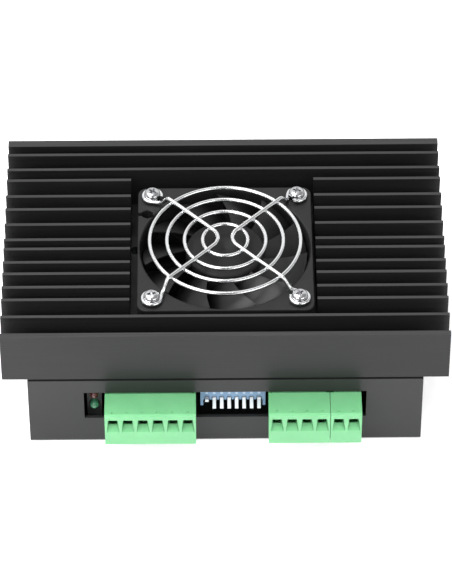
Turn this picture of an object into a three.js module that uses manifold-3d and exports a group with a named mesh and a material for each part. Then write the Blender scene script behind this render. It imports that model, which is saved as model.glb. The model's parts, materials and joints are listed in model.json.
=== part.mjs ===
// Stepper motor driver module: a finned heatsink on top, a folded steel cover below it,
// a 60 mm fan with a wire finger guard let into the fins, and a row of pluggable
// terminals, a piano DIP switch and two status lights along the front edge.
//
// Millimetres, +Z up, X along the fins, front towards -Y. Y below is counted from the
// front face of the heatsink, and the last lines move the whole part so that the origin
// lies under the middle of its box. The cover's flat face stands on Z = 0.

import * as THREE from 'three';
import { mergeVertices } from 'three/addons/utils/BufferGeometryUtils.js';
import Module from 'manifold-3d';

const wasm = await Module();
wasm.setup();

// ---------------------------------------------------------------- driving dimensions

const GAP = 0.3; // clearance between neighbouring pieces
const OVER = 0.1; // how far a cutter runs past the face it cuts

// Heatsink extrusion. The fins are not evenly spaced: FIN_Y holds their middles.
const LENGTH = 151;
const DEPTH = 96.3;
const SINK_Z = 31.4; // underside of the base
const BASE_T = 4;
const SINK_TOP = 52;
const FRONT_WALL = 1.7;
const BACK_WALL = 3;
const FIN_T = 1.2;
const FIN_Y = [9.5, 17.5, 23.5, 30, 35.5, 42, 46.5, 54, 61.5, 68, 76, 81.5, 89];
const POCKET = { x0: -32.2, x1: 31.3, y0: 10.5, y1: 80.5 };
const FLANGE_HOLE = { x: 71, y: [5.3, 85.3], r: 2.25 };
const LEAD_HOLE = { x: -30.8, y: 57.7, r: 1.9 };

// Fan, 60 x 60 x 10, standing on the shortened fins in the pocket.
const FAN = { x: 0.3, y: 43.2, z: 40.6, size: 60, t: 10, bore: 28.9, pitch: 50, corner: 3 };
const FAN_SCREW_R = 1.95;
const FAN_HOLE_R = FAN_SCREW_R + GAP;
const RIB_W = 6.4; // width of the two solid ribs that take the fan screws
const HUB_R = 13.5;
const BLADES = 11;
const BLADE_SPAN = 33; // angle that a blade goes down through, clockwise from above
const BLADE_SWEEP = 15; // angle between its root and its tip

// Finger guard, heights counted from the underside of the fan.
const WIRE_R = 0.7;
const GUARD_RINGS = [25.8, 19.9, 13.9, 7.7];
const EYELET_R = 3.1;
const EYELET_Z = FAN.t + GAP + WIRE_R;
const RING_Z = 13.8;
const STRUT_Z = RING_Z + 1.2;

// Folded cover. It stops short of the heatsink and leaves an open joint all round.
const JOINT = 1.2;
const COVER = { w: 134, y0: 0.2, y1: 95.8, h: SINK_Z - JOINT, t: 1.2, bend: 1.6 };
const WINDOW = { x0: -48.1, x1: 47.9, z0: 12, z1: 24.4 };
const SEAM = 0.35; // open corner seam between the side flaps and the front and back

// Circuit board, held between the rails of the heatsink and four hexagonal spacers.
const BOARD = { w: 127, y0: 2.3, y1: 93.5, z: 25.3, t: 1.6 };
const POST = { x: 55, y: [13, 83] };
const RAIL_W = 6;
const RAIL_L = 120;
const M3_R = 1.4;
const M3_HOLE_R = M3_R + GAP;

// Pluggable terminals: a pin header behind the window and a plug in each one.
const PITCH = 5.08;
const SIDE = 0.2; // plastic outside the end poles
const TERMINALS = [
  { name: 'signal', poles: 6, x: -25.5 },
  { name: 'motor', poles: 4, x: 25 },
  { name: 'power', poles: 2, x: 40.8 },
];
const PLUG = { front: -10.3, back: -0.1, z0: 9.7, z1: 24.2, noseEnd: 9.5 };
const HEADER = { y0: 2, y1: 13.6, z0: 12.8, z1: BOARD.z - GAP, wall: 1, floor: 11 };
const NOSE_INSET = HEADER.wall + GAP;
const PIN = { z: 18.9, half: 0.55, tip: 4.5 };
const CLAMP_Y = -4; // middle of the clamp screws

// Piano DIP switch with eight levers, the first one up.
const DIP = { x: 2.55, w: 22.2, y0: 2, y1: 10.5, z0: 15.9, levers: 8, pitch: 2.54 };
const LEVER = { y: 2.7, z: 18.4, w: 1.2, t: 1.2, length: 3.6, down: 20, up: 35 };

// Two 3 mm lights in one right-angle holder.
const LIGHT = { x: -44.7, z: { red: 20.2, green: 15.1 }, r: 1.5, tip: 2.2, end: 7.7 };

// ------------------------------------------------------------------------- solids

const deg = THREE.MathUtils.degToRad;

// A closed three.js geometry as a manifold solid.
function solid(geometry) {
  geometry.deleteAttribute('normal');
  geometry.deleteAttribute('uv');
  const merged = mergeVertices(geometry, 1e-5);
  const index = merged.index.array;
  const triangles = [];
  for (let i = 0; i < index.length; i += 3) {
    const [a, b, c] = [index[i], index[i + 1], index[i + 2]];
    if (a !== b && b !== c && a !== c) triangles.push(a, b, c);
  }
  const mesh = new wasm.Mesh({
    numProp: 3,
    vertProperties: new Float32Array(merged.attributes.position.array),
    triVerts: new Uint32Array(triangles),
  });
  return new wasm.Manifold(mesh);
}

function join(parts) {
  return parts.reduce((whole, part) => whole.add(part));
}

function cut(whole, parts) {
  return parts.reduce((rest, part) => rest.subtract(part), whole);
}

// Box from its lowest to its highest corner.
function box(x0, x1, y0, y1, z0, z1) {
  const geometry = new THREE.BoxGeometry(x1 - x0, y1 - y0, z1 - z0);
  return solid(geometry.translate((x0 + x1) / 2, (y0 + y1) / 2, (z0 + z1) / 2));
}

// Upright cylinder or cone frustum.
function rod(r, x, y, z0, z1, sides = 16, topR = r) {
  const geometry = new THREE.CylinderGeometry(topR, r, z1 - z0, sides);
  return solid(geometry.rotateX(Math.PI / 2).translate(x, y, (z0 + z1) / 2));
}

// Solid of revolution about Z from [radius, height] pairs that start and end on the axis,
// listed with the solid on their left.
function turned(profile, sides) {
  const points = profile.map(([r, z]) => new THREE.Vector2(r, z));
  return solid(new THREE.LatheGeometry(points, sides).rotateX(Math.PI / 2));
}

// Plain tube about Z.
function pipe(inner, outer, z0, z1, sides) {
  return rod(outer, 0, 0, z0, z1, sides).subtract(rod(inner, 0, 0, z0 - OVER, z1 + OVER, sides));
}

// Box whose front (-Y) and back (+Y) faces differ, each given as [half width, lowest z,
// highest z], with the half width along its top edge as a fourth number if it tapers.
function funnel(x, y0, front, y1, back) {
  const geometry = new THREE.BoxGeometry(2, 2, 2);
  const corners = geometry.attributes.position;
  for (let i = 0; i < corners.count; i += 1) {
    const isFront = corners.getY(i) < 0;
    const isTop = corners.getZ(i) > 0;
    const [half, low, high, topHalf = half] = isFront ? front : back;
    corners.setXYZ(
      i,
      x + corners.getX(i) * (isTop ? topHalf : half),
      isFront ? y0 : y1,
      isTop ? high : low,
    );
  }
  return solid(geometry);
}

// Flat plate with rounded corners.
function roundedPlate(w, d, r, z0, z1) {
  const outline = new THREE.Shape();
  const [a, b] = [w / 2 - r, d / 2 - r];
  outline.absarc(a, b, r, 0, deg(90));
  outline.absarc(-a, b, r, deg(90), deg(180));
  outline.absarc(-a, -b, r, deg(180), deg(270));
  outline.absarc(a, -b, r, deg(270), deg(360));
  const options = { depth: z1 - z0, bevelEnabled: false, curveSegments: 4 };
  return solid(new THREE.ExtrudeGeometry(outline, options).translate(0, 0, z0));
}

// Four places: both signs of x with each y.
function corners(x, ys) {
  return [-x, x].flatMap((px) => ys.map((py) => [px, py]));
}

// ------------------------------------------------------------------- finishes, scene

const FINISH = {
  anodised: { color: 0x2c2d2f, roughness: 0.5, metalness: 0.6 },
  coated: { color: 0x3c3d3f, roughness: 0.55, metalness: 0.2 },
  steel: { color: 0xb9bcc0, roughness: 0.3, metalness: 0.95 },
  chrome: { color: 0xd8dadd, roughness: 0.12, metalness: 1 },
  brass: { color: 0xc9a457, roughness: 0.35, metalness: 0.9 },
  blackPlastic: { color: 0x17181a, roughness: 0.45, metalness: 0 },
  greenPlastic: { color: 0x4fd06a, roughness: 0.5, metalness: 0 },
  bluePlastic: { color: 0x3f7fc0, roughness: 0.45, metalness: 0 },
  whitePlastic: { color: 0xf2f2f0, roughness: 0.5, metalness: 0 },
  board: { color: 0x1f5a35, roughness: 0.5, metalness: 0 },
  redLens: { color: 0xb02020, roughness: 0.2, metalness: 0 },
  greenLens: { color: 0x2c8f4a, roughness: 0.2, metalness: 0 },
  pad: { color: 0x9aa0a4, roughness: 0.8, metalness: 0 },
  sleeve: { color: 0x24262b, roughness: 0.4, metalness: 0 },
  copper: { color: 0xa85a32, roughness: 0.4, metalness: 0.8 },
};

function add(parent, name, shape, finish) {
  const { vertProperties, triVerts } = shape.getMesh();
  const geometry = new THREE.BufferGeometry();
  geometry.setAttribute('position', new THREE.BufferAttribute(new Float32Array(vertProperties), 3));
  geometry.setIndex(new THREE.BufferAttribute(new Uint32Array(triVerts), 1));
  geometry.computeVertexNormals();
  const mesh = new THREE.Mesh(geometry, new THREE.MeshStandardMaterial(FINISH[finish]));
  mesh.name = name;
  parent.add(mesh);
  return mesh;
}

// ----------------------------------------------------------------------- heatsink

function heatsink() {
  const [half, root] = [LENGTH / 2, SINK_Z + 1];
  const wall = (y0, y1, top) => box(-half, half, y0, y1, root, top);
  const floorZ = FAN.z - GAP;
  const ribs = [-1, 1].map((side) => FAN.y + (side * FAN.pitch) / 2);
  const metal = join([
    box(-half, half, 0, DEPTH, SINK_Z, SINK_Z + BASE_T),
    wall(0, FRONT_WALL, SINK_TOP),
    wall(DEPTH - BACK_WALL, DEPTH, SINK_TOP),
    ...FIN_Y.map((y) => wall(y - FIN_T / 2, y + FIN_T / 2, SINK_TOP)),
  ]);
  const pocket = box(POCKET.x0, POCKET.x1, POCKET.y0, POCKET.y1, floorZ, SINK_TOP + 1);
  const beside = [[POCKET.x0, FAN.x - FAN.size / 2 + 0.2], [FAN.x + FAN.size / 2 - 0.2, POCKET.x1]]
    .map(([x0, x1]) => box(x0, x1, POCKET.y0, POCKET.y1, SINK_Z + BASE_T, SINK_TOP));
  const ribbed = join([
    metal.subtract(pocket),
    ...ribs.map((y) => wall(y - RIB_W / 2, y + RIB_W / 2, floorZ)),
    ...POST.y.map((y) => box(-RAIL_L / 2, RAIL_L / 2, y - RAIL_W / 2, y + RAIL_W / 2,
      BOARD.z + BOARD.t + GAP, root)),
  ]);
  return cut(ribbed, [
    ...beside,
    ...corners(FLANGE_HOLE.x, FLANGE_HOLE.y).map(([x, y]) =>
      rod(FLANGE_HOLE.r, x, y, SINK_Z - 1, SINK_Z + BASE_T + 1)),
    ...corners(POST.x, POST.y).map(([x, y]) =>
      rod(M3_HOLE_R, x, y, BOARD.z, SINK_Z + 1.5, 12)),
    ...ribs.flatMap((y) => [-1, 1].map((side) =>
      rod(FAN_HOLE_R, FAN.x + (side * FAN.pitch) / 2, y, SINK_Z + 2, FAN.z, 12))),
    rod(LEAD_HOLE.r, LEAD_HOLE.x, LEAD_HOLE.y, SINK_Z - 1, SINK_Z + BASE_T + 1, 12),
  ]);
}

// -------------------------------------------------------------------------- cover

// One folded sheet: the floor with rounded bends along the front and the back, and two
// side flaps that stop short of the front and back walls.
function cover() {
  const { w, y0, y1, h, t, bend } = COVER;
  const profile = (inset, r) => {
    const outline = new THREE.Shape();
    outline.moveTo(y1 - inset, h + inset);
    outline.lineTo(y0 + inset, h + inset);
    outline.absarc(y0 + inset + r, inset + r, r, deg(180), deg(270));
    outline.absarc(y1 - inset - r, inset + r, r, deg(270), deg(360));
    return outline;
  };
  // ExtrudeGeometry runs along Z: turn it so that the outline lies in YZ.
  const along = (outline, length) => {
    const options = { depth: length, bevelEnabled: false, curveSegments: 4 };
    const geometry = new THREE.ExtrudeGeometry(outline, options);
    return solid(geometry.rotateX(Math.PI / 2).rotateZ(Math.PI / 2).translate(-length / 2, 0, 0));
  };
  const shell = along(profile(0, bend), w).subtract(along(profile(t, bend - t), w - 2 * t));
  const seams = [-1, 1].flatMap((side) => {
    const [inner, outer] = [w / 2 - t, w / 2 + OVER].map((x) => side * x);
    const [a, b] = [Math.min(inner, outer), Math.max(inner, outer)];
    return [
      box(a, b, y0 + t, y0 + t + SEAM, bend, h + OVER),
      box(a, b, y1 - t - SEAM, y1 - t, bend, h + OVER),
    ];
  });
  const countersinks = corners(POST.x, POST.y).flatMap(([x, y]) => [
    rod(M3_HOLE_R, x, y, -OVER, t + OVER, 12),
    rod(3.4, x, y, -OVER, t + OVER, 12, 1.4),
  ]);
  return cut(shell, [
    box(WINDOW.x0, WINDOW.x1, y0 - 1, y0 + t + 1, WINDOW.z0, WINDOW.z1),
    ...seams,
    ...countersinks,
  ]);
}

function coverScrew() {
  const screw = turned([[0, 0.1], [2.8, 0.1], [M3_R, 1.2], [M3_R, 9.4], [0, 9.4]], 10);
  return cut(screw, crossRecess(1.8, 0.7, 0, 1));
}

// Two crossed bars, for cutting a cross recess.
function crossRecess(half, width, z0, z1) {
  return [
    box(-half, half, -width / 2, width / 2, z0, z1),
    box(-width / 2, width / 2, -half, half, z0, z1),
  ];
}

// Hexagonal spacer: its stud passes through the board into the rail above, and the cover
// screw turns into its lower end.
function spacer() {
  const [z0, z1] = [COVER.t + GAP, BOARD.z - GAP];
  const body = rod(5.5 / Math.sqrt(3), 0, 0, z0, z1, 6);
  const stud = rod(M3_R, 0, 0, z1 - 1, SINK_Z + 1, 12);
  return body.add(stud).subtract(rod(M3_HOLE_R, 0, 0, z0 - OVER, z0 + 9.5, 12));
}

// -------------------------------------------------------------- board and its parts

function board() {
  const { w, y0, y1, z, t } = BOARD;
  const holes = corners(POST.x, POST.y).map(([x, y]) =>
    rod(M3_HOLE_R, x, y, z - OVER, z + t + OVER, 12));
  return cut(box(-w / 2, w / 2, y0, y1, z, z + t), holes);
}

// Power transistor lying between the board and the heatsink, metal tab up, with three
// leads that drop onto the board in front of it.
function transistor() {
  const [z0, z1] = [BOARD.z + BOARD.t + GAP, SINK_Z - 1];
  const leads = [-2.54, 0, 2.54].flatMap((x) => [
    box(x - 0.4, x + 0.4, -4, 0.5, z0 + 1.2, z0 + 1.8),
    box(x - 0.4, x + 0.4, -4, -3.2, z0, z0 + 1.8),
  ]);
  const tab = box(-5, 5, 0, 15.4, z1 - 1.3, z1);
  return join([box(-5, 5, 0, 9, z0, z1), tab, ...leads])
    .subtract(rod(1.8, 0, 12.4, z0, SINK_Z, 12));
}

function capacitor() {
  const [top, r] = [BOARD.z - GAP, 8];
  const profile = [[0, 4], [r - 1, 4], [r, 4.8], [r, 20.6], [r - 0.6, 21.4], [r, 22.2],
    [r, top], [0, top]];
  return turned(profile, 20);
}

function processor() {
  const top = BOARD.z - GAP;
  return funnelStack(7, 6.6, top - 1.6, top);
}

// Square moulded package whose lower half tapers downward.
function funnelStack(half, lowHalf, z0, z1) {
  const side = half * Math.SQRT2;
  const mid = (z0 + z1) / 2;
  const taper = rod(lowHalf * Math.SQRT2, 0, 0, z0, mid, 4, side);
  return taper.add(rod(side, 0, 0, mid, z1, 4));
}

// Low two-way header for the fan lead, open to the back, with its two pins.
function fanHeader() {
  const [z0, z1] = [BOARD.z + BOARD.t + GAP, SINK_Z - 2 * GAP];
  const shell = box(-3.7, 3.7, -2.6, 2.6, z0, z1)
    .subtract(box(-3, 3, -1.6, 2.7, z0 + 0.7, z1 - 0.6));
  const pins = [-1.25, 1.25].map((x) => box(x - 0.3, x + 0.3, -2, 2.2, z0 + 1.6, z0 + 2.2));
  return join([shell, ...pins]);
}

// ---------------------------------------------------------------------- terminals

const blockWidth = (poles) => poles * PITCH + 2 * SIDE;

function poleX(poles) {
  return Array.from({ length: poles }, (_, i) => (i - (poles - 1) / 2) * PITCH);
}

// Open-fronted shroud with one square pin for each pole.
function header(poles) {
  const half = blockWidth(poles) / 2;
  const { y0, y1, z0, z1, wall, floor } = HEADER;
  const shroud = box(-half, half, y0, y1, z0, z1)
    .subtract(box(-half + wall, half - wall, y0 - 1, floor, z0 + wall, z1 - wall - 0.4));
  const pins = poleX(poles).map((x) =>
    box(x - PIN.half, x + PIN.half, PIN.tip, floor + 1, PIN.z - PIN.half, PIN.z + PIN.half));
  return join([shroud, ...pins]);
}

// Plug: a block in front of the cover with a wire funnel and a clamp screw well for each
// pole, and a nose with the contact sockets that goes into the header.
function plug(poles) {
  const half = blockWidth(poles) / 2;
  const nose = box(-half + NOSE_INSET, half - NOSE_INSET, PLUG.back - 1, PLUG.noseEnd,
    HEADER.z0 + NOSE_INSET, HEADER.z1 - NOSE_INSET - 0.4);
  const block = box(-half, half, PLUG.front, PLUG.back, PLUG.z0, PLUG.z1);
  const { z0 } = PLUG;
  const socket = PIN.half + 0.4;
  const cuts = poleX(poles).flatMap((x) => [
    funnel(x, PLUG.front - OVER, [2.15, z0 + 6.1, z0 + 12.05, 1.6], PLUG.front + 2.4,
      [1.5, z0 + 8.15, z0 + 11.8]),
    box(x - 1.5, x + 1.5, PLUG.front + 2.3, -1, z0 + 5.6, z0 + 11.8),
    rod(2, x, CLAMP_Y, z0 - OVER, z0 + 4, 10),
    rod(1.5, x, CLAMP_Y, z0 + 3.9, z0 + 7.9, 10),
    box(x - socket, x + socket, 2.5, PLUG.noseEnd + OVER, PIN.z - socket, PIN.z + socket),
  ]);
  return cut(block.add(nose), cuts);
}

// Slotted clamp screw, head down, in its well.
function clampScrew() {
  const [low, neck, tip] = [0.5, 2.9, 7.1].map((rise) => PLUG.z0 + rise);
  const screw = turned([[0, low], [1.7, low], [1.7, neck], [1.2, neck], [1.2, tip], [0, tip]], 10);
  return screw.subtract(box(-2, 2, -0.3, 0.3, low - OVER, low + 0.9));
}

// ------------------------------------------------------------------ switch, lights

function leverX(i) {
  return DIP.x + (i - (DIP.levers - 1) / 2) * DIP.pitch;
}

// Switch body: a wide notch under a slotted brow, between two end cheeks.
function switchBody() {
  const [x0, x1] = [DIP.x - DIP.w / 2, DIP.x + DIP.w / 2];
  const inner = 5;
  const slots = Array.from({ length: DIP.levers }, (_, i) =>
    box(leverX(i) - 0.9, leverX(i) + 0.9, DIP.y0 - 1, inner, LEVER.z + 0.2, LEVER.z + 2));
  return cut(box(x0, x1, DIP.y0, DIP.y1, DIP.z0, BOARD.z - GAP), [
    box(x0 + 1, x1 - 1, DIP.y0 - 1, inner, DIP.z0 - 1, LEVER.z + 0.25),
    ...slots,
  ]);
}

// Lever about its pivot, pointing to the front.
function lever() {
  const arm = funnel(0, -LEVER.length, [LEVER.w / 2, -0.45, 0.45], 0,
    [LEVER.w / 2, -LEVER.t / 2, LEVER.t / 2]);
  const barrel = new THREE.CylinderGeometry(0.9, 0.9, LEVER.w, 12).rotateZ(Math.PI / 2);
  return arm.add(solid(barrel));
}

function lightHolder() {
  const holes = Object.values(LIGHT.z).map((z) => lying(rod(LIGHT.r + GAP, 0, 0, -8, -4, 16), z));
  return cut(box(LIGHT.x - 2.5, LIGHT.x + 2.5, 4.6, 9.6, 8.5, BOARD.z - GAP), holes);
}

// A solid made about Z, laid down so that its +Z end points to the front, at height z.
function lying(shape, z) {
  return shape.rotate([90, 0, 0]).translate([LIGHT.x, 0, z]);
}

// Round-nosed 3 mm light.
function light(z) {
  const { r, tip, end } = LIGHT;
  const dome = [0, 30, 60, 90].map((a) => [r * Math.cos(deg(a)), -tip - r + r * Math.sin(deg(a))]);
  dome[3][0] = 0;
  return lying(turned([[0, -end], [r, -end], ...dome], 16), z);
}

// ---------------------------------------------------------------------------- fan

const fanCorners = corners(FAN.pitch / 2, [-FAN.pitch / 2, FAN.pitch / 2]);

// Square frame with the duct, the motor plate on four struts and the bearing tube. A
// hexagonal hole with a slit to the left edge holds the lead.
function fanFrame() {
  const { size, t, bore, corner } = FAN;
  const duct = rod(bore, 0, 0, -1, t + 1, 48);
  const rim = cut(roundedPlate(size, size, corner, 0, t), [
    duct,
    ...fanCorners.map(([x, y]) => rod(FAN_HOLE_R, x, y, -1, t + 1, 12)),
    box(-size / 2 - 1, -28, 16.2, 17.8, -1, t + 1),
    rod(2.1, -26.7, 17, -1, t + 1, 6),
  ]);
  const struts = [45, 135, 225, 315].map((angle) =>
    box(HUB_R - 2, bore + 2, -1.2, 1.2, 0, 1.2).rotate([0, 0, angle]));
  return join([rim, rod(HUB_R, 0, 0, 0, 1.2, 24), ...struts, pipe(2.7, 3.8, 0.6, 7, 16)]);
}

// Hub cap with its blades. Each blade is a thin sheet that sweeps round the hub.
function fanRotor() {
  const hub = turned([[0, 9.3], [1.3, 9.3], [1.3, 7.4], [2.6, 7.4], [2.6, 8.4], [12.3, 8.4],
    [12.3, 1.8], [HUB_R, 1.8], [HUB_R, 8.9], [12.8, 9.6], [0, 9.6]], 24);
  const blades = Array.from({ length: BLADES }, (_, i) =>
    blade().rotate([0, 0, (i * 360) / BLADES]));
  return join([hub, ...blades]);
}

function blade() {
  const [rings, steps, half] = [3, 3, 0.45];
  const inner = HUB_R - 0.7;
  const outer = FAN.bore - 0.8;
  const place = (i, j, side) => {
    const [u, v] = [i / rings, j / steps];
    const r = inner + (outer - inner) * u;
    const angle = deg(BLADE_SWEEP * (1 + u) - BLADE_SPAN * v);
    return [r * Math.cos(angle), r * Math.sin(angle), 8.6 - 6.2 * v + side * half];
  };
  const points = [];
  const id = (i, j, side) => (side > 0 ? 0 : (rings + 1) * (steps + 1)) + i * (steps + 1) + j;
  for (const side of [1, -1]) {
    for (let i = 0; i <= rings; i += 1) {
      for (let j = 0; j <= steps; j += 1) points.push(...place(i, j, side));
    }
  }
  const faces = [];
  const quad = (a, b, c, d) => faces.push(a, c, b, a, d, c);
  for (let i = 0; i < rings; i += 1) {
    for (let j = 0; j < steps; j += 1) {
      quad(id(i, j, 1), id(i + 1, j, 1), id(i + 1, j + 1, 1), id(i, j + 1, 1));
      quad(id(i, j, -1), id(i, j + 1, -1), id(i + 1, j + 1, -1), id(i + 1, j, -1));
    }
    quad(id(i, 0, 1), id(i, 0, -1), id(i + 1, 0, -1), id(i + 1, 0, 1));
    quad(id(i, steps, 1), id(i + 1, steps, 1), id(i + 1, steps, -1), id(i, steps, -1));
  }
  for (let j = 0; j < steps; j += 1) {
    quad(id(0, j, 1), id(0, j + 1, 1), id(0, j + 1, -1), id(0, j, -1));
    quad(id(rings, j, 1), id(rings, j, -1), id(rings, j + 1, -1), id(rings, j + 1, 1));
  }
  const geometry = new THREE.BufferGeometry();
  geometry.setAttribute('position', new THREE.Float32BufferAttribute(points, 3));
  geometry.setIndex(faces);
  return solid(geometry);
}

// Four-pole stator that the hub turns round.
function fanStator() {
  const gaps = [0, 90].map((angle) => box(-12, 12, -1.4, 1.4, 0, 9).rotate([0, 0, angle + 45]));
  const shoes = cut(pipe(8.6, 10.3, 2.2, 6, 24), gaps);
  const arms = [0, 90].map((angle) =>
    box(-9.4, 9.4, -1.5, 1.5, 2.6, 5.6).rotate([0, 0, angle]));
  const core = join([rod(6.2, 0, 0, 1.8, 6.4, 16), shoes, ...arms]);
  return core.subtract(rod(4.1, 0, 0, 1, 7, 16));
}

// Welded wire guard: four rings, and two bent wires over them that come down to an
// eyelet round each fan screw.
function fingerGuard() {
  const torus = (r, x, y, z, sides) =>
    solid(new THREE.TorusGeometry(r, WIRE_R, 6, sides).translate(x, y, z));
  const rings = GUARD_RINGS.map((r) => torus(r, 0, 0, RING_Z, 12 + 2 * Math.round(r / 3)));
  const eyelets = fanCorners.map(([x, y]) => torus(EYELET_R, x, y, EYELET_Z, 10));
  return join([...rings, ...eyelets, strut(-1), strut(1)]);
}

// One bent wire, on the left (-1) or the right (1): up from an eyelet, in along the
// diagonal, round beside the middle, and out to the other eyelet.
function strut(side) {
  const foot = FAN.pitch / 2 - EYELET_R / Math.SQRT2;
  const leg = (sy) => [
    [foot, foot * sy, EYELET_Z],
    [foot - 1.4, (foot - 1.4) * sy, EYELET_Z + 0.9],
    [19.9, 19.9 * sy, STRUT_Z - 0.5],
    [18.6, 18.6 * sy, STRUT_Z],
    [10, 10 * sy, STRUT_Z],
    [4.4, 4.2 * sy, STRUT_Z],
    [3, 2.4 * sy, STRUT_Z],
  ];
  const route = [...leg(1), [2.4, 0, STRUT_Z], ...leg(-1).reverse()]
    .map(([x, y, z]) => new THREE.Vector3(side * x, y, z));
  const path = new THREE.CatmullRomCurve3(route, false, 'centripetal');
  const section = new THREE.Shape();
  section.absarc(0, 0, WIRE_R, 0, Math.PI * 2);
  const options = { extrudePath: path, steps: 26, bevelEnabled: false, curveSegments: 3 };
  return solid(new THREE.ExtrudeGeometry(section, options));
}

// Pan-head screw that holds the guard and the fan down on the ribs of the heatsink.
function fanScrew() {
  const seat = EYELET_Z + WIRE_R + 0.05;
  const tip = SINK_Z + 3 - FAN.z;
  const head = [[FAN_SCREW_R, seat - 0.4], [2.7, seat], [2.7, seat + 0.8], [2.1, seat + 1.4],
    [0, seat + 1.7]];
  const screw = turned([[0, tip], [FAN_SCREW_R, tip], ...head], 12);
  return cut(screw, crossRecess(1.5, 0.8, seat + 0.6, seat + 3));
}

// --------------------------------------------------------------------- whole part

const driver = new THREE.Group();
const assembly = new THREE.Group();
assembly.position.y = -(PLUG.front + DEPTH) / 2;
driver.add(assembly);

add(assembly, 'heatsink', heatsink(), 'anodised');
add(assembly, 'cover', cover(), 'coated');
add(assembly, 'control_board', board(), 'board');

corners(POST.x, POST.y).forEach(([x, y], i) => {
  add(assembly, `board_spacer_${i + 1}`, spacer(), 'brass').position.set(x, y, 0);
  add(assembly, `cover_screw_${i + 1}`, coverScrew(), 'steel').position.set(x, y, 0);
});

add(assembly, 'thermal_pad', box(-36, 36, 44, 66, SINK_Z - 0.7, SINK_Z - GAP), 'pad');
[-27, -9, 9, 27].forEach((x, i) => {
  add(assembly, `power_transistor_${i + 1}`, transistor(), 'sleeve').position.set(x, 48, 0);
});
[32, 51].forEach((x, i) => {
  add(assembly, `capacitor_${i + 1}`, capacitor(), 'sleeve').position.set(x, 58, 0);
});
const chip = add(assembly, 'processor', processor(), 'sleeve');
chip.position.set(-18, 52, 0);
chip.rotation.z = deg(45);
add(assembly, 'fan_header', fanHeader(), 'whitePlastic').position.set(-44, 50, 0);

for (const { name, poles, x } of TERMINALS) {
  add(assembly, `${name}_header`, header(poles), 'greenPlastic').position.x = x;
  add(assembly, `${name}_plug`, plug(poles), 'greenPlastic').position.x = x;
  poleX(poles).forEach((offset, i) => {
    const screw = add(assembly, `${name}_clamp_screw_${i + 1}`, clampScrew(), 'steel');
    screw.position.set(x + offset, CLAMP_Y, 0);
  });
}

add(assembly, 'dip_switch_body', switchBody(), 'bluePlastic');
for (let i = 0; i < DIP.levers; i += 1) {
  const arm = add(assembly, `dip_lever_${i + 1}`, lever(), 'whitePlastic');
  arm.position.set(leverX(i), LEVER.y, LEVER.z);
  arm.rotation.x = deg(i === 0 ? -LEVER.up : LEVER.down);
}

add(assembly, 'light_holder', lightHolder(), 'blackPlastic');
add(assembly, 'red_light', light(LIGHT.z.red), 'redLens');
add(assembly, 'green_light', light(LIGHT.z.green), 'greenLens');

const fan = new THREE.Group();
fan.position.set(FAN.x, FAN.y, FAN.z);
assembly.add(fan);
add(fan, 'fan_frame', fanFrame(), 'blackPlastic');
add(fan, 'fan_rotor', fanRotor(), 'blackPlastic');
add(fan, 'fan_shaft', rod(1, 0, 0, 1.5, 9, 12), 'steel');
add(fan, 'fan_bearing', pipe(1.3, 2.4, 1.5, 6.8, 12), 'brass');
add(fan, 'fan_stator', fanStator(), 'copper');
add(fan, 'finger_guard', fingerGuard(), 'chrome');
fanCorners.forEach(([x, y], i) => {
  add(fan, `fan_screw_${i + 1}`, fanScrew(), 'steel').position.set(x, y, 0);
});

export default driver;
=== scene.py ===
"""Stepper motor driver module: looks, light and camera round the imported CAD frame.

Shapes are worked out in millimetres from the frame's own boxes and joints, and placed in
metres. Y is counted from the front face of the heatsink unless a function says otherwise.
"""
import json
import math

import bmesh
import bpy
from mathutils import Matrix, Vector


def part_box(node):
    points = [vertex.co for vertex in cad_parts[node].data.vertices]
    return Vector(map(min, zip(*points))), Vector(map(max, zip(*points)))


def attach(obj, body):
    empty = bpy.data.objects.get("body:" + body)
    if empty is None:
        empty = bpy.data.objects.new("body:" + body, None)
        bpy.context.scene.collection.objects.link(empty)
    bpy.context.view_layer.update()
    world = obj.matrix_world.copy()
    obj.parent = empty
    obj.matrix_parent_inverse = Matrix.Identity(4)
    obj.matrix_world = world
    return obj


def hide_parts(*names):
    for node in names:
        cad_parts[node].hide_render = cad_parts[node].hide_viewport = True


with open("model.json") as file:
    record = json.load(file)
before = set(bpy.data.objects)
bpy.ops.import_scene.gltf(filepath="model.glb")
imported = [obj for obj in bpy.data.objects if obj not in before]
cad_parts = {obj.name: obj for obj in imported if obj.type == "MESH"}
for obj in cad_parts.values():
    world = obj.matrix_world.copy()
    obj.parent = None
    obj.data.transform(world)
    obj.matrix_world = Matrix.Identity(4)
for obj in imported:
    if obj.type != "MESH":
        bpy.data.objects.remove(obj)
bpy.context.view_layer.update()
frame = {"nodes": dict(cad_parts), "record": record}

MM = 0.001
PIVOTS = {j["name"]: Vector(j.get("pos_m", (0, 0, 0))) for j in frame["record"]["behaviour"]["joints"]}
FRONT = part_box("heatsink")[0][1]  # Y of the heatsink's front face, in metres


# ------------------------------------------------------------------ frame measurements

def span(node):
    """A node's low and high corners in millimetres, with Y from the heatsink's front."""
    low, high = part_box(node)
    shift = Vector((0, FRONT, 0))
    return (Vector(low) - shift) / MM, (Vector(high) - shift) / MM


def middle(node):
    """The middle of a node's box, in the same way."""
    low, high = span(node)
    return (low + high) / 2


# ------------------------------------------------------------------------ mesh toolkit

def block(bm, low, high):
    """Add a box between two corners."""
    size = Vector(high) - Vector(low)
    move = Matrix.Translation((Vector(low) + Vector(high)) / 2)
    bmesh.ops.create_cube(bm, size=1, matrix=move @ Matrix.Diagonal((*size, 1)))


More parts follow.
